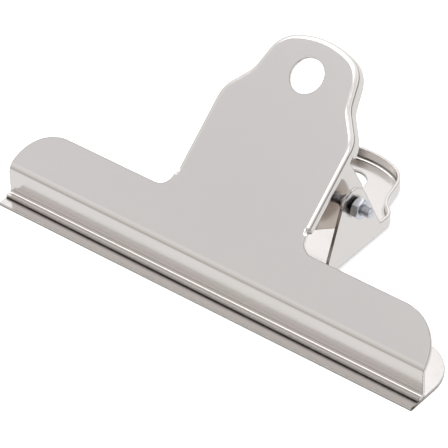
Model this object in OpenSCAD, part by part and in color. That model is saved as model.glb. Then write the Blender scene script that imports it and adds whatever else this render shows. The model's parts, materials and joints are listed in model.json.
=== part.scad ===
// Sheet-metal board clip: two pressed steel plates with ears, hinged on one long screw and
// closed by a torsion spring. It lies on its base plate, with the jaw mouth towards -Y.
// X runs along the jaw, Y from the jaw to the handles, Z up from the table. Millimetres.

/* [Jaw] */
// Length of the jaw, end to end
jaw_length = 145; // [120:1:170]
// Height of the wings, from the base plate's lip to their upper edge
wing_height = 23.9; // [22:0.1:27]
// Radius of the wings' outer corners
wing_corner_r = 13.5; // [10:0.5:14]
// Radius between a wing and the handle
fillet_r = 4.2; // [3:0.1:5]
// How far the upper jaw's lip stands back from the base plate's lip
lip_setback = 3; // [2:0.5:4]
// Distance from the base plate's lip to the front of the upper jaw's wall
wall_setback = 5; // [4.5:0.1:6]
// Height of the upper jaw's crease above the table
crease_z = 10.2; // [9.5:0.1:11]

/* [Handles] */
// Height of the handle's top above the wing's upper edge, along the plate
handle_height = 55.2; // [54:0.1:57]
// Height of the hang hole's centre above the wing's upper edge, along the plate
hang_hole_height = 43.95; // [43:0.05:45]
// Diameter of the hang hole
hang_hole_d = 10.4; // [8:0.1:12]
// Width of the upper plate's handle, over its rim
upper_handle_width = 46; // [45:0.2:48]
// Width of the base plate's handle, over its rim and ears
base_handle_width = 43.8; // [43:0.2:44.4]
// Angle between the two plates when the jaw is shut
plate_angle = 40; // [38:0.5:42]

/* [Sheet] */
// Thickness of the sheet steel
sheet = 0.9; // [0.8:0.05:1]
// Depth of the rim, over the sheet
rim_depth = 4.4; // [4:0.1:5]

/* [Pivot] */
// Distance of the pivot from the base plate's lip
pivot_y = 41.8; // [41:0.1:43]
// Height of the pivot above the table
pivot_z = 18; // [17.5:0.1:18.5]
// Diameter of the pivot screw
bolt_d = 3; // [2.5:0.1:3.4]
// Length of the pivot screw under its head
bolt_length = 50; // [48:0.5:52]
// Diameter of the ears' holes
ear_hole_d = 3.1; // [2.6:0.1:3.5]
// Width of the pivot nut across its flats
nut_flats = 5.5; // [5:0.1:6]
// Thickness of the pivot nut
nut_thickness = 2.4; // [2:0.1:2.6]
// Gap that the nut leaves beside the ear, so that the jaw turns freely
nut_gap = 0.8; // [0.3:0.1:1]

/* [Spring] */
// Diameter of the spring wire
wire_d = 2; // [1.5:0.1:2.2]
// Radius of the coil, to the middle of the wire
coil_r = 4.2; // [3:0.1:5.4]
// Whole turns of the coil
coil_turns = 7; // [4:1:9]
// Distance from the pivot to the end of each leg, along the plate
leg_reach = 23; // [18:0.5:26]

/* [Hidden] */

steel = [0.80, 0.78, 0.75];
zinc = [0.66, 0.68, 0.74];
spring_steel = [0.55, 0.55, 0.56];

arc_step = 7;              // degrees between an outline's points
lip_gap = 0.1;             // between the upper jaw's lip and the base plate
crease_r = 3;              // outside radius of the upper jaw's crease
lip_r = 0.6;               // inside radius where its wall turns into the lip
crease_to_lip = 9.54;      // how much less of the upper plate there is below its wing
upper_wing_top = wing_height - crease_to_lip;
half_jaw = jaw_length / 2;
base_length = wing_height + handle_height;
base_half = base_handle_width / 2;
upper_half = upper_handle_width / 2;

// Shoulders of the handles: [heading of their slope, radius of their outer corner]
base_shoulder = [40, 4];
upper_shoulder = [52, 9];

// Ears, along and away from their plate. The upper ears step inwards to pass inside the others.
base_tip_r = 5.3;
upper_tip_r = 7.3;
upper_tip_out = 2.5;       // how much deeper the upper ear's round tip lies than the pivot
ear_step = 4.8;            // how far the upper ears step inwards
step_top = 3;              // depth at which that step starts
step_low = 8;              // depth at which it ends
low_rim = 1.6;             // depth of the rim where it runs out into the wing

// Turn of the upper plate at its crease, from the sloping plate to the upright wall
crease_turn = 90 - plate_angle;

// The pivot seen from the upper plate: along the plate, and deep under its outer face
pivot_dy = pivot_y - wall_setback;
pivot_dz = pivot_z - crease_z;
upper_pivot_v = pivot_dy * cos(plate_angle) + pivot_dz * sin(plate_angle);
upper_pivot_w = pivot_dy * sin(plate_angle) - pivot_dz * cos(plate_angle);

// Outline of a handle, walked clockwise from the middle of its top. Each step is
// [radius, turn in degrees], where a negative turn is a hollow, or [0, length] for a straight.
lobe_top = [27, 20];
lobe_corner = [9.5, 57];
lobe_side = [0, 5];
neck_r = 8;

// Points of one walk, starting at place with a heading measured clockwise from +X
function walk(steps, place, heading, i = 0) =
    i == len(steps) ? [] :
    let (
        r = steps[i][0],
        turn = steps[i][1],
        n = max(1, ceil(abs(turn) / arc_step)),
        side = turn < 0 ? -1 : 1,
        track = r == 0
            ? [place + turn * [cos(heading), -sin(heading)]]
            : [for (k = [1 : n]) place + side * r
                * [sin(heading + turn * k / n) - sin(heading),
                   cos(heading + turn * k / n) - cos(heading)]]
    )
    concat(track, walk(steps, track[len(track) - 1], r == 0 ? heading : heading + turn, i + 1));

// Half outline of a handle, moved inwards by inset, from its top to its straight side
function handle_half(half_width, shoulder, top, inset) =
    let (
        neck_heading = lobe_top[1] + lobe_corner[1],
        neck = neck_heading - shoulder[0],
        steps = [
            [lobe_top[0] - inset, lobe_top[1]],
            [lobe_corner[0] - inset, lobe_corner[1]],
            lobe_side,
            [neck_r + inset, -neck]
        ],
        before = walk(steps, [0, top - inset], 0),
        from = before[len(before) - 1],
        round_r = shoulder[1] - inset,
        run = (half_width - inset - from[0] - round_r * (1 - sin(shoulder[0]))) / cos(shoulder[0])
    )
    concat([[0, top - inset]], before,
        walk([[0, run], [round_r, 90 - shoulder[0]]], from, shoulder[0]));

// Both halves, closed by a straight line at the height floor_v
function handle_outline(half_width, shoulder, top, floor_v, inset) =
    let (half = handle_half(half_width, shoulder, top, inset), n = len(half))
    concat(half, [[half_width - inset, floor_v], [inset - half_width, floor_v]],
        [for (i = [n - 1 : -1 : 1]) [-half[i][0], half[i][1]]]);

// The flat part of a plate: wings and fillets, up to where the handle's rim starts
function wing_outline(half_width, wing_v, low_v) =
    let (
        corner_x = half_jaw - wing_corner_r,
        right = concat(
            [for (a = [180 : 15 : 270])
                [half_width + fillet_r, wing_v + fillet_r] + fillet_r * [cos(a), sin(a)]],
            [for (a = [90 : -arc_step : 0])
                let (corner = [corner_x, wing_v - wing_corner_r] + wing_corner_r * [cos(a), sin(a)])
                if (corner[1] > low_v + 1) corner],
            [[half_jaw, low_v]])
    )
    concat(right, [for (i = [len(right) - 1 : -1 : 0]) [-right[i][0], right[i][1]]]);

// A handle: its flat and its rim, above from_v
module handle_tray(half_width, shoulder, top, from_v) {
    difference() {
        linear_extrude(rim_depth)
            polygon(handle_outline(half_width, shoulder, top, from_v, 0));
        translate([0, 0, sheet])
            linear_extrude(rim_depth)
                polygon(handle_outline(half_width, shoulder, top, from_v - 5, sheet));
    }
}

// Angle at which a line from p touches a circle round c, on the given side
function touch(p, c, r, side) =
    atan2(p[1] - c[1], p[0] - c[0]) + side * acos(r / norm(p - c));

// Outline of an ear from its foot near the jaw, round its tip, to its toe near the handle's end
function ear_outline(foot, toe, tip, tip_r) =
    let (
        first = touch(foot, tip, tip_r, -1) + 360,
        last = touch(toe, tip, tip_r, 1),
        n = 12
    )
    concat([foot],
        [for (k = [0 : n]) let (a = first + (last - first) * k / n)
            tip + tip_r * [cos(a), sin(a)]],
        [toe]);

// Turns a shape drawn in X and Y into one that stands in Y and Z, centred on X = 0
module across(width) {
    rotate([90, 0, 90])
        linear_extrude(width, center = true)
            children();
}

// Hole for a shaft along X
module cross_hole(y, z, d) {
    translate([0, y, z])
        rotate([0, 90, 0])
            cylinder(h = 80, d = d, center = true, $fn = 48);
}

// Hole straight through a plate that lies flat
module hang_hole(y) {
    translate([0, y, -5])
        cylinder(h = 10, d = hang_hole_d, $fn = 96);
}

// A plate that lies flat on its outer face: wings, handle with its rim, ears and hang hole
module pressed_plate(half_width, shoulder, wing_v, low_v, rim_cut) {
    difference() {
        union() {
            linear_extrude(sheet) polygon(wing_outline(half_width, wing_v, low_v));
            difference() {
                handle_tray(half_width, shoulder, wing_v + handle_height, wing_v + fillet_r);
                across(80) polygon(rim_cut);
            }
            children();
        }
        hang_hole(wing_v + hang_hole_height);
    }
}

// A pair of ears: a strip that follows section, cut to an outline seen from the side
module ears(outline, section) {
    intersection() {
        across(80) polygon(outline);
        for (side = [0, 1])
            mirror([side, 0, 0])
                translate([0, 60, 0])
                    rotate([90, 0, 0])
                        linear_extrude(60) polygon(section);
    }
}

// The plate that lies on the table, flat right up to its lip
module base_plate() {
    ear = ear_outline([29.1, 2.1], [54.2, 3.4], [pivot_y, pivot_z], base_tip_r);
    rim_cut = [[20, low_rim], [28.9, low_rim], [31.9, rim_depth + 1], [20, rim_depth + 1]];
    strip = [[base_half, 2.4], [base_half, 40], [base_half - sheet, 40], [base_half - sheet, 2.4]];
    color(steel)
        difference() {
            pressed_plate(base_half, base_shoulder, wing_height, 0, rim_cut)
                ears(ear, strip);
            cross_hole(pivot_y, pivot_z, ear_hole_d);
        }
}

// The upper plate's ears: a strip that steps inwards, cut to the ear's outline
module upper_ears() {
    tip = [upper_pivot_v, upper_pivot_w + upper_tip_out];
    ear = ear_outline([18.7, step_top - 1], [44.6, step_top], tip, upper_tip_r);
    corner = sheet * tan(atan2(ear_step, step_low - step_top) / 2);
    out = upper_half;
    in = upper_half - ear_step;
    deep = 40;
    strip = [
        [out, step_top - 1], [out, step_top], [in, step_low], [in, deep],
        [in - sheet, deep], [in - sheet, step_low - corner],
        [out - sheet, step_top - corner], [out - sheet, step_top - 1]
    ];
    ears(ear, strip);
}

// Section of the upper jaw: crease, wall and lip
module jaw_section() {
    wall = wall_setback;
    low = sheet + lip_gap;
    tangent = crease_r * tan(crease_turn / 2);
    centre = [wall + crease_r, crease_z - tangent];
    foot = [wall - lip_r, low + sheet + lip_r];
    steps = 6;
    outside = concat(
        [for (k = [0 : steps]) let (a = 180 - crease_turn * (1 - k / steps))
            centre + crease_r * [cos(a), sin(a)]],
        [for (k = [0 : steps]) let (a = -90 * k / steps) foot + lip_r * [cos(a), sin(a)]],
        [[lip_setback, low + sheet]]);
    inside = concat(
        [[lip_setback, low]],
        [for (k = [0 : steps]) let (a = -90 + 90 * k / steps)
            foot + (lip_r + sheet) * [cos(a), sin(a)]],
        [for (k = [0 : steps]) let (a = 180 - crease_turn * k / steps)
            centre + (crease_r - sheet) * [cos(a), sin(a)]]);
    across(jaw_length) polygon(concat(outside, inside));
}

// The sloping plate, with its jaw
module upper_plate() {
    low_v = crease_r * tan(crease_turn / 2);
    rim_cut = [
        [10, low_rim], [18.2, low_rim], [18.8, step_top], [44.2, step_top],
        [45.4, rim_depth + 1], [10, rim_depth + 1]
    ];
    color(steel)
        union() {
            translate([0, wall_setback, crease_z])
                rotate([plate_angle, 0, 0])
                    rotate([0, 180, 0])
                        difference() {
                            pressed_plate(upper_half, upper_shoulder, upper_wing_top, low_v, rim_cut)
                                upper_ears();
                            cross_hole(upper_pivot_v, upper_pivot_w, ear_hole_d);
                        }
            jaw_section();
        }
}

// Pan-head screw with a cross recess, its head against the left ear and its end domed
module pivot_bolt() {
    head_h = 2.2;
    head_r = 2.8;
    dome = 0.6;
    r = bolt_d / 2;
    profile = concat(
        [[0, -head_h]],
        [for (k = [1 : 5]) let (a = 18 * k)
            [head_r - 1 + sin(a), -head_h + 1 - cos(a)]],
        [[head_r, 0], [r, 0], [r, bolt_length - dome]],
        [for (k = [1 : 4]) let (a = 22.5 * k)
            [r - dome * (1 - cos(a)), bolt_length - dome + dome * sin(a)]],
        [[0, bolt_length]]);
    color(zinc)
        translate([-base_half, pivot_y, pivot_z])
            rotate([0, 90, 0])
                difference() {
                    rotate_extrude($fn = 64) polygon(profile);
                    for (turn = [0, 90])
                        rotate([0, 0, turn])
                            translate([-1.4, -0.3, -head_h - 1])
                                cube([2.8, 0.6, 2.1]);
                }
}

// Hex nut with chamfered corners
module pivot_nut() {
    corner_r = nut_flats / 2 / cos(30);
    color(zinc)
        translate([base_half + nut_gap, pivot_y, pivot_z])
            rotate([0, 90, 0])
                difference() {
                    intersection() {
                        rotate([0, 0, 12]) cylinder(h = nut_thickness, r = corner_r, $fn = 6);
                        rotate_extrude($fn = 64)
                            polygon([
                                [0, 0], [corner_r - 0.4, 0], [corner_r + 0.1, 0.3],
                                [corner_r + 0.1, nut_thickness - 0.3],
                                [corner_r - 0.4, nut_thickness], [0, nut_thickness]
                            ]);
                    }
                    translate([0, 0, -1]) cylinder(h = nut_thickness + 2, d = bolt_d, $fn = 64);
                }
}

// Torsion spring round the screw. Its legs run to the handles and push them apart.
module torsion_spring() {
    room = wire_d / 2 + lip_gap;
    base_end = [leg_reach, sheet + room - pivot_z];
    reach_up = upper_pivot_w - sheet - room;
    upper_end = leg_reach * [cos(plate_angle), sin(plate_angle)]
        + reach_up * [-sin(plate_angle), cos(plate_angle)];
    first = touch(base_end, [0, 0], coil_r, -1);
    last = touch(upper_end, [0, 0], coil_r, 1) - 360 * (coil_turns + 1);
    pitch = wire_d + 0.12;
    steps = 18 * coil_turns;
    half = pitch * (first - last) / 720;
    path = concat(
        [[-half, base_end[0], base_end[1]]],
        [for (k = [0 : steps]) let (a = first + (last - first) * k / steps)
            [half * (2 * k / steps - 1), coil_r * cos(a), coil_r * sin(a)]],
        [[half, upper_end[0], upper_end[1]]]);
    color(spring_steel)
        translate([0, pivot_y, pivot_z])
            wire(path, wire_d / 2);
}

// A round wire along a path that turns about the X axis
module wire(path, r) {
    sides = 10;
    n = len(path);
    points = [for (i = [0 : n - 1])
        let (
            back = path[max(i - 1, 0)],
            ahead = path[min(i + 1, n - 1)],
            t = (ahead - back) / norm(ahead - back),
            u0 = cross(t, [1, 0, 0]),
            u = u0 / norm(u0),
            v = cross(t, u)
        )
        for (k = [0 : sides - 1]) let (a = 360 * k / sides)
            path[i] + r * (cos(a) * u + sin(a) * v)];
    walls = [for (i = [0 : n - 2]) for (k = [0 : sides - 1]) for (half = [0, 1])
        let (j = (k + 1) % sides, a = i * sides + k, b = i * sides + j, c = a + sides, d = b + sides)
        half == 0 ? [a, d, b] : [a, c, d]];
    polyhedron(points, concat([[for (k = [0 : sides - 1]) k]], walls,
        [[for (k = [sides - 1 : -1 : 0]) (n - 1) * sides + k]]));
}

// Moves the origin from the middle of the base plate's lip to the middle of its footprint
module centred() {
    translate([0, -base_length / 2, 0]) children();
}

centred() base_plate();
centred() upper_plate();
centred() pivot_bolt();
centred() pivot_nut();
centred() torsion_spring();
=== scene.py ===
import json
import math

import bmesh
import bpy
from mathutils import Matrix, Vector
from mathutils.geometry import delaunay_2d_cdt


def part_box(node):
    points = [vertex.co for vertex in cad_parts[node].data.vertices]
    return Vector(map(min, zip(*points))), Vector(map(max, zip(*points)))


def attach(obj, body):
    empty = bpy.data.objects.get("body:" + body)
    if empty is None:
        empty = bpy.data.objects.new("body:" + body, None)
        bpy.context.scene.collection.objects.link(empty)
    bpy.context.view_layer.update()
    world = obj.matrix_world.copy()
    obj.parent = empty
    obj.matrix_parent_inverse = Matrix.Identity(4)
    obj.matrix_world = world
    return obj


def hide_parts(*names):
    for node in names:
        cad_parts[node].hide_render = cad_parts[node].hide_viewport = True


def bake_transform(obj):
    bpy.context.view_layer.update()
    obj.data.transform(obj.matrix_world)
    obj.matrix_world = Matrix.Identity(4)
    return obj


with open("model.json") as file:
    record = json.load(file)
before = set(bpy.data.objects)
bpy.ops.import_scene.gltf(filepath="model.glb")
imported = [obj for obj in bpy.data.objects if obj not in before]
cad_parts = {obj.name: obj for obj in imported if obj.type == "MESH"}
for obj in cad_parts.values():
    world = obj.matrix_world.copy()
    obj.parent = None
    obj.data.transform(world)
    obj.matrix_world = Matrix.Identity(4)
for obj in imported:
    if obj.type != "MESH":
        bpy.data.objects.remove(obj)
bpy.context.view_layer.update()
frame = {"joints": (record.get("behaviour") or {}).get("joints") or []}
mm = 0.001  # shapes are worked out in millimetres and placed in metres
pivot = Vector(frame["joints"][0]["pos_m"]) / mm
baseLow, baseHigh = (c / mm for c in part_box("base_plate"))
boltLow, boltHigh = (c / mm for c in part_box("pivot_bolt"))
nutLow, nutHigh = (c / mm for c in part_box("pivot_nut"))
halfJaw = baseHigh.x
lipY = baseLow.y  # the base plate's lip


def addNode(tree, kind, values=None, **settings):
    # a node with its settings; each value is a number for a socket or another node's socket
    node = tree.nodes.new(kind)
    for key, value in settings.items():
        setattr(node, key, value)
    for key, value in (values or {}).items():
        if isinstance(value, bpy.types.NodeSocket):
            tree.links.new(value, node.inputs[key])
        else:
            node.inputs[key].default_value = value
    return node


def calc(tree, operation, a, b=None, c=None, clamp=False):
    values = {i: v for i, v in enumerate((a, b, c)) if v is not None}
    return addNode(tree, "ShaderNodeMath", values, operation=operation, use_clamp=clamp).outputs[0]


def newTree(name, kind, inputs, outputs):
    tree = bpy.data.node_groups.new(name, kind)
    for label, socketKind, value in inputs:
        socket = tree.interface.new_socket(name=label, in_out="INPUT", socket_type=socketKind)
        if value is not None:
            socket.default_value = value
    for label, socketKind in outputs:
        tree.interface.new_socket(name=label, in_out="OUTPUT", socket_type=socketKind)
    start = tree.nodes.new("NodeGroupInput")
    end = tree.nodes.new("NodeGroupOutput")
    return tree, start.outputs, end.inputs


def makeScratches():
    # hairlines that cross each other; the height is 0 to 1 and the mask is where they lie
    tree, given, result = newTree(
        "hairlineScratches", "ShaderNodeTree",
        [("Vector", "NodeSocketVector", None), ("Scale", "NodeSocketFloat", 300.0),
         ("Stretch", "NodeSocketFloat", 30.0), ("Turn", "NodeSocketFloat", 0.4),
         ("Fineness", "NodeSocketFloat", 26.0)],
        [("Height", "NodeSocketFloat"), ("Mask", "NodeSocketFloat")])
    lines = []
    for seed, lean in ((0.0, 1.0), (3.7, -0.6)):
        turn = addNode(tree, "ShaderNodeCombineXYZ", {2: calc(tree, "MULTIPLY", given["Turn"], lean)})
        turned = addNode(tree, "ShaderNodeVectorRotate",
                         {"Vector": given["Vector"], "Rotation": turn.outputs[0]},
                         rotation_type="EULER_XYZ")
        longways = addNode(tree, "ShaderNodeCombineXYZ",
                           {0: 1.0, 1: given["Stretch"], 2: given["Stretch"]})
        spread = addNode(tree, "ShaderNodeVectorMath",
                         {0: turned.outputs[0], 1: longways.outputs[0]}, operation="MULTIPLY")
        noise = addNode(tree, "ShaderNodeTexNoise",
                        {"Vector": spread.outputs[0], "W": seed, "Scale": given["Scale"],
                         "Detail": 2.0, "Roughness": 0.55}, noise_dimensions="4D")
        near = calc(tree, "ABSOLUTE", calc(tree, "SUBTRACT", noise.outputs[0], 0.5))
        faded = calc(tree, "MULTIPLY", near, given["Fineness"])
        lines.append(calc(tree, "SUBTRACT", 1.0, faded, clamp=True))
    both = calc(tree, "MAXIMUM", *lines)
    tree.links.new(calc(tree, "SUBTRACT", 1.0, both), result["Height"])
    tree.links.new(both, result["Mask"])
    return tree


def makeClouding():
    # slow patches from 0 to 1, for polish that is not even and for fingerprints
    tree, given, result = newTree(
        "clouding", "ShaderNodeTree",
        [("Vector", "NodeSocketVector", None), ("Scale", "NodeSocketFloat", 60.0),
         ("Sharpness", "NodeSocketFloat", 2.2)],
        [("Value", "NodeSocketFloat")])
    noise = addNode(tree, "ShaderNodeTexNoise",
                    {"Vector": given["Vector"], "Scale": given["Scale"], "Detail": 4.0,
                     "Roughness": 0.6, "Distortion": 0.3})
    centred = calc(tree, "SUBTRACT", noise.outputs[0], 0.5)
    spread = calc(tree, "MULTIPLY_ADD", centred, given["Sharpness"], 0.5, clamp=True)
    tree.links.new(spread, result["Value"])
    return tree


def breakUp(tree, given, mask, least, reach):
    # a mask made patchy by fine noise, down to its least share
    noise = addNode(tree, "ShaderNodeTexNoise",
                    {"Vector": given["Vector"], "Scale": given["Scale"], "Detail": 2.0})
    patchy = calc(tree, "MULTIPLY_ADD", noise.outputs[0], reach, least, clamp=True)
    return calc(tree, "MULTIPLY", mask, patchy)


def makeEdgeWearAndShade():
    # 1 on edges and tight bends, 0 on the flats: painted shade on the nickel plates, rubbed wear on the
    # zinc and the wire
    tree, given, result = newTree(
        "edgeWearAndShade", "ShaderNodeTree",
        [("Vector", "NodeSocketVector", None), ("Width", "NodeSocketFloat", 0.0003),
         ("Scale", "NodeSocketFloat", 500.0)],
        [("Mask", "NodeSocketFloat")])
    rounded = addNode(tree, "ShaderNodeBevel", {"Radius": given["Width"]}, samples=4)
    own = addNode(tree, "ShaderNodeNewGeometry").outputs["Normal"]
    same = addNode(tree, "ShaderNodeVectorMath", {0: rounded.outputs[0], 1: own},
                   operation="DOT_PRODUCT").outputs["Value"]
    # the rounded normal leans away from the surface's own only near an edge
    edge = addNode(tree, "ShaderNodeMapRange",
                   {"Value": same, "From Min": 0.995, "From Max": 0.85}, clamp=True)
    tree.links.new(breakUp(tree, given, edge.outputs[0], 0.2, 1.4), result["Mask"])
    return tree


def makePaintedCornerShade():
    # painted shade: 1 deep in corners and narrow gaps, where ambient occlusion finds shade, 0 in the open;
    # fine noise makes it patchy
    tree, given, result = newTree(
        "paintedCornerShade", "ShaderNodeTree",
        [("Vector", "NodeSocketVector", None), ("Reach", "NodeSocketFloat", 0.0012),
         ("Open", "NodeSocketFloat", 0.92), ("Closed", "NodeSocketFloat", 0.55),
         ("Scale", "NodeSocketFloat", 400.0)],
        [("Mask", "NodeSocketFloat")])
    light = addNode(tree, "ShaderNodeAmbientOcclusion", {"Distance": given["Reach"]}, samples=8)
    hidden = addNode(tree, "ShaderNodeMapRange",
                     {"Value": light.outputs["AO"], "From Min": given["Open"],
                      "From Max": given["Closed"]}, clamp=True)
    deep = calc(tree, "POWER", hidden.outputs[0], 1.6)
    tree.links.new(breakUp(tree, given, deep, 0.7, 0.6), result["Mask"])
    return tree


scratches = makeScratches()
clouding = makeClouding()
edgeWearAndShade = makeEdgeWearAndShade()
paintedCornerShade = makePaintedCornerShade()


def placeGroup(tree, group, vector, **values):
    node = tree.nodes.new("ShaderNodeGroup")
    node.node_tree = group
    tree.links.new(vector, node.inputs["Vector"])
    for key, value in values.items():
        node.inputs[key[0].upper() + key[1:]].default_value = value
    return node.outputs


def mixColour(tree, factor, first, second):
    mix = addNode(tree, "ShaderNodeMix", {"Factor": factor}, data_type="RGBA")
    for socket, colour in ((mix.inputs[6], first), (mix.inputs[7], second)):
        if isinstance(colour, bpy.types.NodeSocket):
            tree.links.new(colour, socket)
        else:
            socket.default_value = colour
    return mix.outputs[2]


def metalMaterial(name, finish):
    material = bpy.data.materials.new(name)
    material.use_nodes = True
    tree = material.node_tree
    shader = tree.nodes["Principled BSDF"]
    shader.inputs["Metallic"].default_value = 1.0
    place = addNode(tree, "ShaderNodeTexCoord").outputs["Object"]
    patches = placeGroup(tree, clouding, place, scale=finish["cloudScale"])["Value"]
    hair = placeGroup(tree, scratches, place, scale=finish["hairScale"],
                      stretch=finish["hairStretch"], turn=finish["hairTurn"])
    rubbed = placeGroup(tree, edgeWearAndShade, place, width=finish["edgeMarkWidth"],
                        scale=finish["edgeMarkScale"])["Mask"]
    # painted shade: an ambient occlusion mask for corners and narrow gaps
    paintedShade = placeGroup(tree, paintedCornerShade, place, reach=finish["paintedShadeReach"])["Mask"]

    tint = mixColour(tree, patches, finish["colour"], finish["shade"])
    # edges: painted shade, a near-black line, on the nickel plates; rubbed plating on the zinc and the
    # wire
    edgeWornAndShaded = mixColour(tree, rubbed, tint, finish["edge"])
    # painted shade darkens the colour in corners and narrow gaps
    withPaintedShade = mixColour(tree, paintedShade, edgeWornAndShaded, finish["paintedShade"])
    tree.links.new(withPaintedShade, shader.inputs["Base Color"])

    smooth, dull = finish["rough"]
    rough = calc(tree, "MULTIPLY_ADD", patches, dull - smooth, smooth)
    rough = calc(tree, "MULTIPLY_ADD", hair["Mask"], finish["hairRough"], rough, clamp=True)
    tree.links.new(rough, shader.inputs["Roughness"])

    grain = addNode(tree, "ShaderNodeTexNoise",
                    {"Vector": place, "Scale": finish["grainScale"], "Detail": 3.0})
    height = calc(tree, "MULTIPLY_ADD", hair["Height"], finish["hairDepth"],
                  calc(tree, "MULTIPLY", grain.outputs[0], finish["grainDepth"]))
    bump = addNode(tree, "ShaderNodeBump", {"Height": height, "Distance": mm, "Strength": 1.0})
    tree.links.new(bump.outputs[0], shader.inputs["Normal"])
    return material


nickelPlate = metalMaterial("brightNickel", {
    "colour": (0.74, 0.705, 0.68, 1),
    "shade": (0.72, 0.69, 0.655, 1),
    "edge": (0.12, 0.105, 0.09, 1),     # painted shade: a near-black line along the cut edges, where the sheet's edges fall into shade
    # painted shade: the near-black colour laid into corners and narrow gaps
    "paintedShade": (0.05, 0.035, 0.025, 1),
    "rough": (0.13, 0.18),              # from the smooth patches to the dull ones
    "cloudScale": 22.0,
    "hairScale": 90.0,
    "hairStretch": 22.0,
    "hairTurn": 0.5,
    "hairRough": 0.05,
    "hairDepth": 0.0005,
    "grainScale": 900.0,
    "grainDepth": 0.0012,
    "edgeMarkWidth": 0.0004,
    "edgeMarkScale": 440.0,
    "paintedShadeReach": 0.0015,
})
zincPlate = metalMaterial("blueZinc", {
    "colour": (0.66, 0.68, 0.72, 1),
    "shade": (0.55, 0.57, 0.62, 1),
    "edge": (0.74, 0.76, 0.78, 1),
    # painted shade: the dark colour laid into corners and narrow gaps
    "paintedShade": (0.08, 0.07, 0.07, 1),
    "rough": (0.22, 0.38),
    "cloudScale": 300.0,
    "hairScale": 300.0,
    "hairStretch": 10.0,
    "hairTurn": 1.1,
    "hairRough": 0.08,
    "hairDepth": 0.002,
    "grainScale": 2500.0,
    "grainDepth": 0.006,
    "edgeMarkWidth": 0.00012,
    "edgeMarkScale": 6000.0,
    "paintedShadeReach": 0.0005,
})
springWire = metalMaterial("drawnSpringWire", {
    "colour": (0.42, 0.41, 0.40, 1),
    "shade": (0.33, 0.32, 0.31, 1),
    "edge": (0.6, 0.59, 0.57, 1),
    # painted shade: the dark colour laid into corners and narrow gaps
    "paintedShade": (0.06, 0.045, 0.03, 1),
    "rough": (0.26, 0.42),
    "cloudScale": 180.0,
    "hairScale": 500.0,
    "hairStretch": 14.0,
    "hairTurn": 1.5,
    "hairRough": 0.1,
    "hairDepth": 0.003,
    "grainScale": 2000.0,
    "grainDepth": 0.006,
    "edgeMarkWidth": 0.0001,
    "edgeMarkScale": 3600.0,
    "paintedShadeReach": 0.0008,
})
print("metal finishes ready")


def makeObject(name, mesh):
    obj = bpy.data.objects.new(name, mesh)
    bpy.context.scene.collection.objects.link(obj)
    return obj


def cutAway(obj, cutter, selfCrossing=False):
    cut = obj.modifiers.new("cut", "BOOLEAN")
    cut.operation = "DIFFERENCE"
    cut.solver = "EXACT"
    cut.use_self = selfCrossing
    cut.object = cutter


def rubEdges(obj, width, segments, sharpAngle=None):
    # rounds the edges sharper than the angle, or without one the edges that carry a weight
    rub = obj.modifiers.new("rub", "BEVEL")
    rub.width = width * mm
    rub.segments = segments
    if sharpAngle is None:
        rub.limit_method = "WEIGHT"
    else:
        rub.limit_method = "ANGLE"
        rub.angle_limit = math.radians(sharpAngle)


def settle(obj, material, *cutters):
    # bakes the modifiers into a plain mesh with even shading, and clears the cutters away
    even = obj.modifiers.new("even", "WEIGHTED_NORMAL")
    even.weight = 90
    even.keep_sharp = True
    obj.data.shade_smooth()
    depsgraph = bpy.context.evaluated_depsgraph_get()
    mesh = bpy.data.meshes.new_from_object(obj.evaluated_get(depsgraph), depsgraph=depsgraph)
    obj.modifiers.clear()
    obj.data = mesh
    for cutter in cutters:
        bpy.data.objects.remove(cutter)
    obj.data.materials.append(material)
    return obj


def skinRings(mesh, rings, looped=False):
    # joins rings of points, all with as many points, into one closed skin: capped, or looped round
    bm = bmesh.new()
    rows = [[bm.verts.new(p) for p in ring] for ring in rings]
    if looped:
        rows.append(rows[0])
    count = len(rows[0])
    for a, b in zip(rows, rows[1:]):
        for i in range(count):
            j = (i + 1) % count
            bm.faces.new((a[i], a[j], b[j], b[i]))
    if not looped:
        bm.faces.new(rows[0][::-1])
        bm.faces.new(rows[-1])
    bmesh.ops.recalc_face_normals(bm, faces=bm.faces)
    bm.to_mesh(mesh)
    bm.free()
    return mesh


def between(profile, at):
    # a depth read off a line through the profile's points
    if at <= profile[0][0]:
        return profile[0][1]
    for (a, low), (b, high) in zip(profile, profile[1:]):
        if at <= b:
            return low + (high - low) * (at - a) / (b - a)
    return profile[-1][1]


def arc(centre, radius, start, end, steps):
    turns = [math.radians(start + (end - start) * k / steps) for k in range(steps + 1)]
    return [(centre[0] + radius * math.cos(a), centre[1] + radius * math.sin(a)) for a in turns]


def straight(start, end, steps):
    return [(start[0] + (end[0] - start[0]) * k / steps, start[1] + (end[1] - start[1]) * k / steps)
            for k in range(steps + 1)]


sheetSteel = {
    "thickness": 0.9,
    "bend": 1.6,            # outside radius where a handle turns into its rim
    "rim": 4.4,             # depth of the rim
    "rubbed": 0.22,         # how far the cut edges are rubbed round
    "drill": 1.55,          # radius of the holes in the ears
    "drillReach": 40,       # far enough to go through both ears
    "bendOut": 2.4,         # the rim dies away into the flat over this length
    "bendSteps": 9,
    "rimSteps": 44,
    "lastRow": 0.5,         # the last row of faces before a cut edge
    "leastRow": 0.06,       # rows closer than this are left out
    "fineRow": 0.3,         # between rows where the rim dies away
}

# both handles have one outline; along is measured up the plate from its lip or crease
handleForm = {
    "height": 55.2,         # top above the wing
    "holeUp": 43.95,        # hang hole above the wing
    "hole": 5.2,
    "top": (27, 20),        # radius and turn in degrees of the crown, then of its corner
    "corner": (9.5, 57),
    "side": 5,
    "neck": 8,
    "fillet": 4.2,
    "wingCorner": 13.5,
    "arcStep": 3,
}


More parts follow.
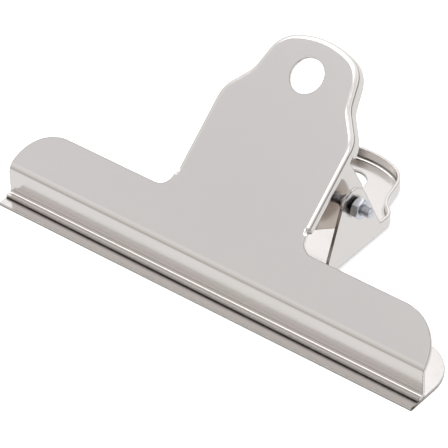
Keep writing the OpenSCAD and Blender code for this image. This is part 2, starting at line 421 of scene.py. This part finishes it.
def walkHandle(plate):
    # right half of a handle from the middle of its top: places with their outward directions
    top = plate["wing"] + handleForm["height"]
    spots = [((0.0, top), (0.0, 1.0))]
    place, heading = (0.0, top), 0.0

    def bendOn(radius, turn):
        nonlocal place, heading
        side = -1 if turn < 0 else 1
        steps = max(1, math.ceil(abs(turn) / handleForm["arcStep"]))
        h = math.radians(heading)
        for k in range(1, steps + 1):
            a = math.radians(heading + turn * k / steps)
            spot = (place[0] + side * radius * (math.sin(a) - math.sin(h)),
                    place[1] + side * radius * (math.cos(a) - math.cos(h)))
            spots.append((spot, (math.sin(a), math.cos(a))))
        place, heading = spots[-1][0], heading + turn

    def goOn(length):
        nonlocal place
        h = math.radians(heading)
        place = (place[0] + length * math.cos(h), place[1] - length * math.sin(h))
        spots.append((place, (math.sin(h), math.cos(h))))

    radius, slope = plate["shoulder"]
    bendOn(*handleForm["top"])
    bendOn(*handleForm["corner"])
    goOn(handleForm["side"])
    bendOn(handleForm["neck"], slope - heading)
    h = math.radians(slope)
    goOn((plate["half"] - place[0] - radius * (1 - math.sin(h))) / math.cos(h))
    bendOn(radius, 90 - slope)
    return spots


def touchAngle(point, centre, radius, side):
    # where on a circle the straight line from a point touches it, in degrees
    away = math.atan2(point[1] - centre[1], point[0] - centre[0])
    return math.degrees(away + side * math.acos(radius / math.dist(point, centre)))


def earDepths(plate, tip):
    # an ear's outline as (along, depth): up from its foot, round the pivot and back to its toe
    foot, toe, radius = plate["earFoot"], plate["earToe"], plate["earTipR"]
    first = touchAngle(foot, tip, radius, -1) + 360
    last = touchAngle(toe, tip, radius, 1)
    nose = arc(tip, radius, first, last, 26)
    return straight(foot, nose[0], 14)[:-1] + nose + straight(nose[-1], toe, 12)[1:]


def easeInto(depth, start, soft):
    # 0 before the start, then rising evenly, with a soft corner between
    if depth <= start - soft:
        return 0.0
    if depth >= start + soft:
        return depth - start
    return (depth - start + soft) ** 2 / (4 * soft)


def stepIn(plate, depth):
    # how far the ear has stepped inwards at this depth
    if not plate["earStep"]:
        return 0.0
    top, low, soft = plate["stepTop"], plate["stepLow"], plate["stepSoft"]
    slope = plate["earStep"] / (low - top)
    return slope * (easeInto(depth, top, soft) - easeInto(depth, low, soft))


def rimSection(plate, depth, bent):
    # (out from the bend line, depth) from the flat to the free edge; bent goes from 0 to 1
    bend, steps = sheetSteel["bend"], sheetSteel["bendSteps"]
    turn = math.radians(90) * max(bent, 0.001)      # never quite flat, or it would have no radius
    curved = bend / 2 + (bend * math.pi / 2 - bend / 2) * bent ** 2
    level = bend / 2 + (max(depth - bend, 0.05) - bend / 2) * bent ** 2
    radius = curved / turn
    section = [(radius * math.sin(turn * k / steps), radius * (1 - math.cos(turn * k / steps)))
               for k in range(steps + 1)]
    outEnd, deepEnd = section[-1]
    rows = sheetSteel["rimSteps"]
    lastRow = min(sheetSteel["lastRow"], level / 2)
    for k in range(1, rows + 2):
        far = (level - lastRow) * k / rows if k <= rows else level
        section.append((outEnd + far * math.cos(turn), deepEnd + far * math.sin(turn)))
    fit = bend / section[-1][0]
    return [(out * fit - stepIn(plate, deep), deep) for out, deep in section]


def inward(section, thickness):
    # each point moved one sheet thickness square to the section, to the right of its course
    moved = []
    for k, (out, deep) in enumerate(section):
        before, after = section[max(k - 1, 0)], section[min(k + 1, len(section) - 1)]
        run, fall = after[0] - before[0], after[1] - before[1]
        far = math.hypot(run, fall)
        moved.append((out - fall / far * thickness, deep + run / far * thickness))
    return moved


def sideRows(plate, ear, floor, sideTop):
    # where the rows of faces lie along a handle's straight side, from its top to the fillet
    stops = [a for a, _ in ear + plate["rimDepths"]]
    stops += [floor + sheetSteel["fineRow"] * k for k in range(10)]
    stops += [floor + (sideTop - floor) * k / 20 for k in range(20)]
    least = sheetSteel["leastRow"]
    kept = [sideTop]
    for stop in sorted(stops, reverse=True):
        if kept[-1] - stop > least and stop >= floor + least:
            kept.append(stop)
    return kept + [floor]


def plateSkin(plate, low, ear, jaw, place):
    # outer skin, inner skin and the cut edges between; place turns (x, along, deep) into the frame
    bm = bmesh.new()
    thickness, bend = sheetSteel["thickness"], sheetSteel["bend"]
    wing, half, fillet = plate["wing"], plate["half"], handleForm["fillet"]
    inner = {}
    flatSpots = {}

    def vertex(x, along, deep, innerSpot=None):
        outer = bm.verts.new(place(x, along, deep))
        inner[outer] = place(*(innerSpot or (x, along, deep + thickness)))
        return outer

    def flatVertex(x, along):
        made = vertex(x, along, 0.0)
        flatSpots[made] = (x, along)
        return made

    # the handle's rim and its ears, one column of points at each place round the handle
    floor = wing + fillet
    spots = walkHandle(plate)
    sideTop = spots[-1][0][1]
    spots += [((half, along), (1.0, 0.0)) for along in sideRows(plate, ear, floor, sideTop)[1:]]
    columns = [((-x, along), (-nx, ny)) for (x, along), (nx, ny) in spots[:0:-1]] + spots
    grid = []
    for (x, along), (nx, ny) in columns:
        onSide = abs(ny) < 1e-6 and along < sideTop
        depth, bent = sheetSteel["rim"], 1.0
        if onSide:
            depth = between(plate["rimDepths"], along)
            if ear[0][0] <= along <= ear[-1][0]:
                depth = max(depth, between(ear, along))
            part = min(1.0, (along - floor) / sheetSteel["bendOut"])
            bent = part * part * (3 - 2 * part)
        section = rimSection(plate if onSide else {"earStep": 0.0}, depth, bent)
        inside = inward(section, thickness)
        inside[0] = (0.0, thickness)
        startX, startAlong = x - nx * bend, along - ny * bend
        column = [vertex(startX + nx * out, startAlong + ny * out, deep,
                         (startX + nx * outIn, startAlong + ny * outIn, deepIn))
                  for (out, deep), (outIn, deepIn) in zip(section, inside)]
        flatSpots[column[0]] = (startX, startAlong)
        if along == floor:
            for point, (out, deep) in zip(column, section):
                flatSpots[point] = (startX + nx * out, startAlong)
        grid.append(column)
    for a, b in zip(grid, grid[1:]):
        for i in range(len(a) - 1):
            bm.faces.new((a[i], a[i + 1], b[i + 1], b[i]))

    # the flat: the wings' round ends, the fillets and the handle, round the hang hole
    cornerR = handleForm["wingCorner"]
    corner = arc((halfJaw - cornerR, wing - cornerR), cornerR, 0, 90, 30)
    hollow = arc((half + fillet, floor), fillet, 270, 180, 14)
    corner = [p for p in corner if p[1] > low + sheetSteel["fineRow"]]
    wingEnd = [(halfJaw, low)] + corner + hollow[:-1]
    rightEnd = [flatVertex(x, along) for x, along in wingEnd]
    leftEnd = [flatVertex(-x, along) for x, along in wingEnd]
    bendLine = [column[0] for column in grid[-2:0:-1]]
    loop = rightEnd + grid[-1][::-1] + bendLine + grid[0] + leftEnd[::-1]
    holeMiddle = (0.0, wing + handleForm["holeUp"])
    hole = [flatVertex(x, along) for x, along in arc(holeMiddle, handleForm["hole"], 0, 360, 96)[:-1]]
    flat = loop + hole
    count = len(loop)
    edges = [(i, (i + 1) % count) for i in range(count)]
    edges += [(count + i, count + (i + 1) % len(hole)) for i in range(len(hole))]
    flatPlaces = [Vector(flatSpots[v]) for v in flat]
    places, _, faces, origins, _, _ = delaunay_2d_cdt(flatPlaces, edges, [], 1, 1e-7)
    for face in faces:
        middle = sum((places[i] for i in face), Vector((0.0, 0.0))) / 3
        if (middle - Vector(holeMiddle)).length > handleForm["hole"] * 0.999:
            bm.faces.new([flat[origins[i][0]] for i in face])

    # the jaw bends on from the flat's lower edge
    if jaw:
        inside = inward(jaw, -thickness)
        rows = [(rightEnd[0], leftEnd[0])]
        rows += [[vertex(side * halfJaw, a, d, (side * halfJaw, aIn, dIn)) for side in (1, -1)]
                 for (a, d), (aIn, dIn) in zip(jaw[1:], inside[1:])]
        for (a, b), (c, d) in zip(rows, rows[1:]):
            bm.faces.new((a, b, d, c))

    # the inner skin copies the outer one, and a wall closes the sheet all round
    bmesh.ops.recalc_face_normals(bm, faces=bm.faces)
    innerSkin = {outer: bm.verts.new(spot) for outer, spot in inner.items()}
    cutEdges = [(e.verts[0], e.verts[1]) for e in bm.edges if len(e.link_faces) == 1]
    for face in list(bm.faces):
        bm.faces.new([innerSkin[v] for v in reversed(face.verts)])
    weight = bm.edges.layers.float.new("bevel_weight_edge")
    for a, b in cutEdges:
        bm.faces.new((a, b, innerSkin[b], innerSkin[a]))
        bm.edges.get((a, b))[weight] = 1.0
        bm.edges.get((innerSkin[a], innerSkin[b]))[weight] = 1.0
    bmesh.ops.recalc_face_normals(bm, faces=bm.faces)
    return bm


def pressedPlate(name, plate, low, tip, jaw, place):
    bm = plateSkin(plate, low, earDepths(plate, tip), jaw, place)
    obj = makeObject(name, bpy.data.meshes.new(name))
    bm.to_mesh(obj.data)
    bm.free()
    reach = sheetSteel["drillReach"]
    circle = arc((pivot.y, pivot.z), sheetSteel["drill"], 0, 360, 64)[:-1]
    bores = [[Vector((x, y, z)) * mm for y, z in circle] for x in (-reach, reach)]
    drill = makeObject("drill", skinRings(bpy.data.meshes.new("drill"), bores))
    cutAway(obj, drill)
    rubEdges(obj, sheetSteel["rubbed"], 3)
    settle(obj, nickelPlate, drill)
    return obj


# ear places are (along, depth) below the plate's outer face; rimDepths says how deep the rim is there
basePlate = {
    "half": 21.9,           # half the handle's width
    "shoulder": (4, 40),    # radius, and slope in degrees above it
    "wing": 23.9,
    "earFoot": (29.1, 2.1),
    "earToe": (54.2, 3.4),
    "earTip": (41.8, 18.0),
    "earTipR": 5.3,
    "earStep": 0.0,
    "rimDepths": [(28.1, 1.6), (28.9, 1.6), (31.1, 4.4)],
}


def placeBase(x, along, deep):
    return Vector((x, lipY + along, deep)) * mm


base = pressedPlate("basePlate", basePlate, 0.0, basePlate["earTip"], None, placeBase)
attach(base, "base")
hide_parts("base_plate")
print("base plate pressed", len(base.data.polygons))

upperPlate = {
    "half": 23.0,
    "shoulder": (9, 52),
    "wing": 14.36,
    "angle": 40.0,          # between the plates
    "wallY": 5.0,           # the jaw's wall, from the base plate's lip
    "creaseZ": 10.2,
    "creaseR": 4.5,
    "lipY": 3.0,
    "lipTop": 1.9,
    "lipR": 0.7,
    "earFoot": (18.7, 2.0),
    "earToe": (44.6, 3.0),
    "earTipR": 7.3,
    "earTipOut": 2.5,       # the ear's tip past the pivot
    "earStep": 4.8,         # the ears step in, to pass between the base plate's
    "stepTop": 3.0,
    "stepLow": 8.0,
    "stepSoft": 0.9,
    "rimDepths": [(18.56, 1.6), (18.8, 3.0), (44.4, 3.0), (45.0, 4.4)],
}
tilt = math.radians(upperPlate["angle"])


def onUpper(y, z):
    # (along, deep) on the upper plate of a place given from the crease
    return y * math.cos(tilt) + z * math.sin(tilt), y * math.sin(tilt) - z * math.cos(tilt)


pivotAlong, pivotDeep = onUpper(pivot.y - lipY - upperPlate["wallY"], pivot.z - upperPlate["creaseZ"])


def placeUpper(x, along, deep):
    y = upperPlate["wallY"] + along * math.cos(tilt) + deep * math.sin(tilt)
    z = upperPlate["creaseZ"] + along * math.sin(tilt) - deep * math.cos(tilt)
    return Vector((x, lipY + y, z)) * mm


def jawSection():
    # crease, wall and lip of the upper jaw, as (along, deep) of its outer skin
    wall, crease, radius = upperPlate["wallY"], upperPlate["creaseZ"], upperPlate["creaseR"]
    turn = 90 - upperPlate["angle"]
    down = radius * math.tan(math.radians(turn / 2))
    spots = arc((wall + radius, crease - down), radius, 180 - turn, 180, 14)
    lipBend = (wall - upperPlate["lipR"], upperPlate["lipTop"] + upperPlate["lipR"])
    spots += arc(lipBend, upperPlate["lipR"], 0, -90, 8)
    spots.append((upperPlate["lipY"], upperPlate["lipTop"]))
    section = [onUpper(y - wall, z - crease) for y, z in spots]
    section[0] = (down, 0.0)
    return section


upperTip = (pivotAlong, pivotDeep + upperPlate["earTipOut"])
upperJaw = jawSection()
upper = pressedPlate("upperPlate", upperPlate, upperJaw[0][0], upperTip, upperJaw, placeUpper)
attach(upper, "upper")
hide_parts("upper_plate")
print("upper plate pressed", len(upper.data.polygons))


def growFromNodes(name, tree, values, material):
    # runs a tree on an empty mesh and keeps what it grows as a plain mesh
    obj = makeObject(name, bpy.data.meshes.new(name))
    grower = obj.modifiers.new("grower", "NODES")
    grower.node_group = tree
    values = dict(values, Material=material)
    for item in tree.interface.items_tree:
        if item.in_out == "INPUT" and item.name in values:
            grower[item.identifier] = values[item.name]
    depsgraph = bpy.context.evaluated_depsgraph_get()
    mesh = bpy.data.meshes.new_from_object(obj.evaluated_get(depsgraph), depsgraph=depsgraph)
    obj.modifiers.clear()
    obj.data = mesh
    return obj


def finishTree(tree, mesh, result, material):
    smooth = addNode(tree, "GeometryNodeSetShadeSmooth", {"Geometry": mesh})
    real = addNode(tree, "GeometryNodeRealizeInstances", {"Geometry": smooth.outputs[0]})
    painted = addNode(tree, "GeometryNodeSetMaterial",
                      {"Geometry": real.outputs[0], "Material": material})
    tree.links.new(painted.outputs[0], result["Geometry"])


def threadTree():
    # a rod along Z whose skin sinks into a screw thread and tapers at its far end
    tree, given, result = newTree(
        "cutThread", "GeometryNodeTree",
        [("Length", "NodeSocketFloat", 0.05), ("Radius", "NodeSocketFloat", 0.0015),
         ("Pitch", "NodeSocketFloat", 0.0005), ("Depth", "NodeSocketFloat", 0.0003),
         ("Taper", "NodeSocketFloat", 0.0006), ("Tip", "NodeSocketFloat", 0.42),
         ("Crest", "NodeSocketFloat", 0.12), ("Rings", "NodeSocketInt", 800),
         ("Sides", "NodeSocketInt", 40), ("Material", "NodeSocketMaterial", None)],
        [("Geometry", "NodeSocketGeometry")])
    rod = addNode(tree, "GeometryNodeMeshCylinder",
                  {"Vertices": given["Sides"], "Side Segments": given["Rings"],
                   "Radius": given["Radius"], "Depth": given["Length"]})
    place = addNode(tree, "GeometryNodeInputPosition").outputs[0]
    x, y, z = addNode(tree, "ShaderNodeSeparateXYZ", {0: place}).outputs
    turn = calc(tree, "DIVIDE", calc(tree, "ARCTAN2", y, x), 2 * math.pi)
    turnsUp = calc(tree, "DIVIDE", z, given["Pitch"])
    phase = calc(tree, "FRACT", calc(tree, "SUBTRACT", turnsUp, turn))
    flank = calc(tree, "MULTIPLY", calc(tree, "ABSOLUTE", calc(tree, "SUBTRACT", phase, 0.5)), 2.0)
    sloped = calc(tree, "SUBTRACT", 1.0, calc(tree, "MULTIPLY", given["Crest"], 2.0))
    sunk = calc(tree, "DIVIDE", calc(tree, "SUBTRACT", flank, given["Crest"]), sloped, clamp=True)
    cut = calc(tree, "MULTIPLY", sunk, calc(tree, "DIVIDE", given["Depth"], given["Radius"]))
    halfLength = calc(tree, "MULTIPLY", given["Length"], 0.5)
    toEnd = calc(tree, "DIVIDE", calc(tree, "SUBTRACT", halfLength, z), given["Taper"], clamp=True)
    rounding = calc(tree, "POWER", calc(tree, "SUBTRACT", 1.0, toEnd), 2.0)
    ending = calc(tree, "MULTIPLY", rounding, given["Tip"])
    keep = calc(tree, "SUBTRACT", 1.0, calc(tree, "MAXIMUM", cut, ending))
    spot = addNode(tree, "ShaderNodeCombineXYZ",
                   {0: calc(tree, "MULTIPLY", x, keep), 1: calc(tree, "MULTIPLY", y, keep), 2: z})
    moved = addNode(tree, "GeometryNodeSetPosition",
                    {"Geometry": rod.outputs["Mesh"], "Position": spot.outputs[0]})
    finishTree(tree, moved.outputs[0], result, given["Material"])
    return tree


screw = {
    "radius": 1.5,
    "pitch": 0.5,
    "depth": 0.3,
    "tipTaper": 0.6,
    "ringsPerTurn": 8,
    "sides": 36,
    "headR": 2.8,
    "headWall": 0.75,       # height of the head's straight side
    "headFoot": 0.12,       # slope round the foot of the head
    "neckR": 1.2,           # the head's underside starts inside the thread
    "crown": 0.9,           # radius of the crown's flat middle
    "crownSteps": 10,
    "headRubbed": 0.05,
    "headSharp": 35,        # degrees; sharper edges are rubbed round
    "recessTop": (1.62, 0.36),    # half length and half width of the cross recess's arms
    "recessFoot": (0.75, 0.24),
    "recessDepth": 1.5,
    "recessTurn": 20,
    "bitClear": 0.3,        # how far the bit stands out of the head
}
headSeat = -basePlate["half"]     # the head sits on the base plate's far ear


def screwThread():
    length = boltHigh.x - headSeat
    obj = growFromNodes("screwThread", threadTree(), {
        "Length": length * mm, "Radius": screw["radius"] * mm, "Pitch": screw["pitch"] * mm,
        "Depth": screw["depth"] * mm, "Taper": screw["tipTaper"] * mm,
        "Rings": round(length / screw["pitch"] * screw["ringsPerTurn"]),
        "Sides": screw["sides"]}, zincPlate)
    lay = Matrix.Rotation(math.radians(90), 4, "Y")
    middle = Vector(((headSeat + boltHigh.x) / 2, pivot.y, pivot.z)) * mm
    obj.data.transform(Matrix.Translation(middle) @ lay)
    return obj


def crossBit(height):
    # the driver's bit: two tapered bars across each other
    bit = makeObject("bit", bpy.data.meshes.new("bit"))
    bm = bmesh.new()
    for turn in (screw["recessTurn"], screw["recessTurn"] + 90):
        spin = Matrix.Rotation(math.radians(turn), 3, "X")
        levels = []
        for up, (long, wide) in ((height + screw["bitClear"], screw["recessTop"]),
                                 (height - screw["recessDepth"], screw["recessFoot"])):
            middle = Vector((headSeat - up, pivot.y, pivot.z))
            levels.append([bm.verts.new((middle + spin @ Vector((0, sy * long, sz * wide))) * mm)
                           for sy, sz in ((-1, -1), (1, -1), (1, 1), (-1, 1))])
        for a, b in ((0, 1), (1, 2), (2, 3), (3, 0)):
            bm.faces.new((levels[0][a], levels[0][b], levels[1][b], levels[1][a]))
        bm.faces.new(levels[0][::-1])
        bm.faces.new(levels[1])
    bmesh.ops.recalc_face_normals(bm, faces=bm.faces)
    bm.to_mesh(bit.data)
    bm.free()
    return bit


def screwHead():
    # (radius, height) from the underside up, turned round the bolt's axis
    wall, foot, crown, radius = screw["headWall"], screw["headFoot"], screw["crown"], screw["headR"]
    height = headSeat - boltLow.x
    profile = [(screw["neckR"], 0.0), (radius - foot, 0.0), (radius, foot), (radius, wall)]
    for share, rise in arc((0, 0), 1, 0, 90, screw["crownSteps"])[1:]:
        profile.append((crown + (radius - crown) * share, wall + (height - wall) * rise))
    profile.append((0.02, height))      # a tiny last ring, which the cap closes
    rings = [[Vector((headSeat - up, y, z)) * mm for y, z in arc((pivot.y, pivot.z), r, 0, 360, 72)[:-1]]
             for r, up in profile]
    obj = makeObject("screwHead", skinRings(bpy.data.meshes.new("screwHead"), rings))
    bit = crossBit(height)
    cutAway(obj, bit, selfCrossing=True)
    rubEdges(obj, screw["headRubbed"], 2, sharpAngle=screw["headSharp"])
    return settle(obj, zincPlate, bit)


nut = {
    "flats": 5.5,
    "faceR": 2.6,
    "bore": 1.28,
    "boreChamfer": 0.25,
    "cornerSlope": 30,
    "turn": 12.0,           # degrees the nut ended up at when it was tightened
    "steps": 96,
    "rubbed": 0.06,
    "sharp": 25,            # degrees; sharper edges are rubbed round
}


def hexNut():
    # the outline is swept round the bore: flat faces, with the corners sloped off
    half, faceR, bore, chamfer = nut["flats"] / 2, nut["faceR"], nut["bore"], nut["boreChamfer"]
    low, high = nutLow.x, nutHigh.x
    rings = [[] for _ in range(8)]
    for k in range(nut["steps"]):
        turn = 360 * k / nut["steps"]
        fromFlat = (turn % 60) - 30
        out = half / math.cos(math.radians(fromFlat))
        drop = (out - faceR) * math.tan(math.radians(nut["cornerSlope"]))
        a = math.radians(turn + nut["turn"])
        section = [(bore, low + chamfer), (bore + chamfer, low), (faceR, low), (out, low + drop),
                   (out, high - drop), (faceR, high), (bore + chamfer, high), (bore, high - chamfer)]
        for ring, (r, x) in zip(rings, section):
            ring.append(Vector((x, pivot.y + r * math.cos(a), pivot.z + r * math.sin(a))) * mm)
    obj = makeObject("hexNut", skinRings(bpy.data.meshes.new("hexNut"), rings, looped=True))
    rubEdges(obj, nut["rubbed"], 2, sharpAngle=nut["sharp"])
    return settle(obj, zincPlate)


thread = screwThread()
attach(thread, "base")
head = screwHead()
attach(head, "base")
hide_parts("pivot_bolt")
nutPiece = hexNut()
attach(nutPiece, "base")
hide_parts("pivot_nut")
print("screw and nut made", len(thread.data.polygons))


def springTree():
    # a round wire: one leg, a coil round the X axis, and the other leg
    tree, given, result = newTree(
        "woundWire", "GeometryNodeTree",
        [("Wire Radius", "NodeSocketFloat", 0.001), ("Coil Radius", "NodeSocketFloat", 0.0042),
         ("First Angle", "NodeSocketFloat", 0.0), ("Last Angle", "NodeSocketFloat", -45.0),
         ("Half Width", "NodeSocketFloat", 0.0077), ("First End", "NodeSocketVector", None),
         ("Last End", "NodeSocketVector", None), ("Points", "NodeSocketInt", 300),
         ("Sides", "NodeSocketInt", 20), ("Material", "NodeSocketMaterial", None)],
        [("Geometry", "NodeSocketGeometry")])
    line = addNode(tree, "GeometryNodeMeshLine", {"Count": given["Points"]})
    index = addNode(tree, "GeometryNodeInputIndex").outputs[0]
    last = calc(tree, "SUBTRACT", given["Points"], 1.0)
    share = calc(tree, "DIVIDE", calc(tree, "SUBTRACT", index, 1.0),
                 calc(tree, "SUBTRACT", given["Points"], 3.0), clamp=True)
    sweep = calc(tree, "SUBTRACT", given["Last Angle"], given["First Angle"])
    angle = calc(tree, "MULTIPLY_ADD", share, sweep, given["First Angle"])
    sideways = calc(tree, "MULTIPLY_ADD", share, 2.0, -1.0)
    spot = addNode(tree, "ShaderNodeCombineXYZ",
                   {0: calc(tree, "MULTIPLY", sideways, given["Half Width"]),
                    1: calc(tree, "MULTIPLY", calc(tree, "COSINE", angle), given["Coil Radius"]),
                    2: calc(tree, "MULTIPLY", calc(tree, "SINE", angle), given["Coil Radius"])}).outputs[0]
    for place, end in ((0.0, "First End"), (last, "Last End")):
        here = calc(tree, "COMPARE", index, place, 0.5)
        spot = addNode(tree, "GeometryNodeSwitch", {"Switch": here, "False": spot, "True": given[end]},
                       input_type="VECTOR").outputs[0]
    moved = addNode(tree, "GeometryNodeSetPosition", {"Geometry": line.outputs[0], "Position": spot})
    path = addNode(tree, "GeometryNodeMeshToCurve", {"Mesh": moved.outputs[0]})
    section = addNode(tree, "GeometryNodeCurvePrimitiveCircle",
                      {"Resolution": given["Sides"], "Radius": given["Wire Radius"]})
    skin = addNode(tree, "GeometryNodeCurveToMesh",
                   {"Curve": path.outputs[0], "Profile Curve": section.outputs[0], "Fill Caps": True})
    finishTree(tree, skin.outputs[0], result, given["Material"])
    return tree


spring = {
    "wire": 1.0,            # radius of the wire
    "coil": 4.2,            # radius to the middle of the wire
    "turns": 7,
    "gap": 0.12,            # between two turns
    "reach": 23.0,          # how far a leg reaches from the pivot
    "clear": 0.1,           # between a leg and its plate
    "points": 340,
    "sides": 20,
}


def torsionSpring():
    # each leg lies along its plate's inner face and touches the coil
    wire, coil, reach = spring["wire"], spring["coil"], spring["reach"]
    room = sheetSteel["thickness"] + wire + spring["clear"]
    firstEnd = (reach, room - pivot.z)
    up = pivotDeep - room
    lastEnd = (reach * math.cos(tilt) - up * math.sin(tilt), reach * math.sin(tilt) + up * math.cos(tilt))
    first = touchAngle(firstEnd, (0, 0), coil, -1)
    last = touchAngle(lastEnd, (0, 0), coil, 1) - 360 * (spring["turns"] + 1)
    halfWide = (2 * wire + spring["gap"]) * (first - last) / 720
    obj = growFromNodes("torsionSpring", springTree(), {
        "Wire Radius": wire * mm, "Coil Radius": coil * mm, "First Angle": math.radians(first),
        "Last Angle": math.radians(last), "Half Width": halfWide * mm,
        "First End": (-halfWide * mm, firstEnd[0] * mm, firstEnd[1] * mm),
        "Last End": (halfWide * mm, lastEnd[0] * mm, lastEnd[1] * mm),
        "Points": spring["points"], "Sides": spring["sides"]}, springWire)
    obj.data.transform(Matrix.Translation(Vector((0, pivot.y, pivot.z)) * mm))
    return obj, halfWide


coilPiece, coilHalf = torsionSpring()
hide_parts("torsion_spring")
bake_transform(coilPiece)
print("spring wound", len(coilPiece.data.polygons))

studio = {
    "floor": 0.7,           # metres across
    "floorDown": 0.00005,   # just under the object, so that the faces never share a plane
    "floorTone": 0.9,
    "floorLift": 0.35,      # light of the floor's own where the camera sees it
    "floorGlow": 0.96,      # and where the metal sees it
    "sky": 1.13,
    "lean": 0.24,           # how much brighter the room is behind the handles than before the jaw
    "darkAt": 0.53,         # height of the dark stretch beyond the right hand end, as in roomColours
    "darkCore": 0.03,
    "darkFade": 0.09,
    "darkest": 0.95,        # share of the light it takes away
    "topLight": {"place": (-0.3, 0.1, 0.9), "size": (0.9, 0.9), "power": 4.5},
    "sideLight": {"place": (0.5, -0.6, 0.85), "size": (0.45, 0.45), "power": 2.0},
}

# the room's colours from straight down, 0, over the horizon, 0.5, to straight up, 1
roomColours = [
    (0.0, (0.5, 0.48, 0.45, 1)),
    (0.44, (0.64, 0.60, 0.56, 1)),
    (0.50, (0.52, 0.49, 0.46, 1)),
    (0.56, (0.66, 0.64, 0.62, 1)),
    (0.64, (0.86, 0.85, 0.84, 1)),
    (0.76, (0.96, 0.96, 0.97, 1)),
    (0.85, (0.76, 0.76, 0.79, 1)),
    (1.0, (1.0, 1.0, 1.02, 1)),
]


def makeFloor():
    half, down = studio["floor"] / 2, -studio["floorDown"]
    mesh = bpy.data.meshes.new("floor")
    mesh.from_pydata([(-half, -half, down), (half, -half, down), (half, half, down),
                      (-half, half, down)], [], [(0, 1, 2, 3)])
    floor = makeObject("floor", mesh)
    paper = bpy.data.materials.new("whitePaper")
    paper.use_nodes = True
    tree = paper.node_tree
    shader = tree.nodes["Principled BSDF"]
    tone = studio["floorTone"]
    shader.inputs["Base Color"].default_value = (tone, tone, tone, 1)
    shader.inputs["Roughness"].default_value = 0.9
    shader.inputs["Emission Color"].default_value = (1, 1, 1, 1)
    shader.inputs["Emission Strength"].default_value = studio["floorLift"]
    seen = addNode(tree, "ShaderNodeLightPath").outputs["Is Camera Ray"]
    glow = addNode(tree, "ShaderNodeEmission",
                   {"Color": (0.98, 0.99, 1.0, 1), "Strength": studio["floorGlow"]})
    mixed = addNode(tree, "ShaderNodeMixShader", {0: seen, 1: glow.outputs[0], 2: shader.outputs[0]})
    tree.links.new(mixed.outputs[0], tree.nodes["Material Output"].inputs["Surface"])
    floor.data.materials.append(paper)


def makeRoom():
    # what bright metal mirrors: soft light above, a dimmer warm band low down, white behind it all
    world = bpy.data.worlds.new("studioRoom")
    bpy.context.scene.world = world
    world.use_nodes = True
    tree = world.node_tree
    direction = addNode(tree, "ShaderNodeTexCoord").outputs["Generated"]
    x, y, z = addNode(tree, "ShaderNodeSeparateXYZ", {0: direction}).outputs
    share = calc(tree, "MULTIPLY_ADD", z, 0.5, 0.5)
    ramp = addNode(tree, "ShaderNodeValToRGB", {0: share})
    stops = ramp.color_ramp.elements
    stops[0].position, stops[0].color = roomColours[0]
    stops[1].position, stops[1].color = roomColours[-1]
    for at, colour in roomColours[1:-1]:
        stops.new(at).color = colour

    # beyond the right hand end the room is darker, and the bends show it as thin dark lines
    away = calc(tree, "ABSOLUTE", calc(tree, "SUBTRACT", share, studio["darkAt"]))
    low = addNode(tree, "ShaderNodeMapRange",
                  {"Value": away, "From Min": studio["darkCore"], "From Max": studio["darkFade"],
                   "To Min": studio["darkest"], "To Max": 0.0}, clamp=True).outputs[0]
    right = calc(tree, "MULTIPLY_ADD", x, 1.1, 0.45, clamp=True)
    shaded = calc(tree, "SUBTRACT", 1.0, calc(tree, "MULTIPLY", low, right))
    lean = calc(tree, "MULTIPLY_ADD", y, studio["lean"], studio["sky"])
    lit = addNode(tree, "ShaderNodeVectorMath",
                  {0: ramp.outputs[0], "Scale": calc(tree, "MULTIPLY", lean, shaded)}, operation="SCALE")
    seen = addNode(tree, "ShaderNodeLightPath").outputs["Is Camera Ray"]
    colour = mixColour(tree, seen, lit.outputs[0], (1, 1, 1, 1))
    tree.links.new(colour, tree.nodes["Background"].inputs["Color"])


def softBox(name):
    box = studio[name]
    light = bpy.data.lights.new(name, "AREA")
    light.shape = "RECTANGLE"
    light.size, light.size_y = box["size"]
    light.energy = box["power"]
    obj = bpy.data.objects.new(name, light)
    obj.location = box["place"]
    obj.rotation_mode = "QUATERNION"
    obj.rotation_quaternion = (-Vector(box["place"])).to_track_quat("-Z", "Y")
    bpy.context.scene.collection.objects.link(obj)


makeFloor()
makeRoom()
softBox("topLight")
softBox("sideLight")

cameraView = {
    "azimuth": 40.57,       # degrees round from the jaw, then up, then the tip of the frame
    "elevation": 38.24,
    "roll": -2.17,
    "distance": 0.879,
    "lens": 259.1,
    "target": (-0.0038, -0.0224, 0.015),
}


def makeCamera():
    a, e = math.radians(cameraView["azimuth"]), math.radians(cameraView["elevation"])
    back = Vector((math.sin(a) * math.cos(e), -math.cos(a) * math.cos(e), math.sin(e)))
    data = bpy.data.cameras.new("camera")
    data.lens = cameraView["lens"]
    data.sensor_width = 36.0
    data.clip_start, data.clip_end = 0.05, 20.0
    camera = bpy.data.objects.new("camera", data)
    bpy.context.scene.collection.objects.link(camera)
    facing = (-back).to_track_quat("-Z", "Y").to_matrix()
    facing = facing @ Matrix.Rotation(math.radians(cameraView["roll"]), 3, "Z")
    camera.location = Vector(cameraView["target"]) + back * cameraView["distance"]
    camera.rotation_mode = "QUATERNION"
    camera.rotation_quaternion = facing.to_quaternion()
    bpy.context.scene.camera = camera


makeCamera()
bpy.context.scene.view_settings.view_transform = "Standard"
print("studio ready")
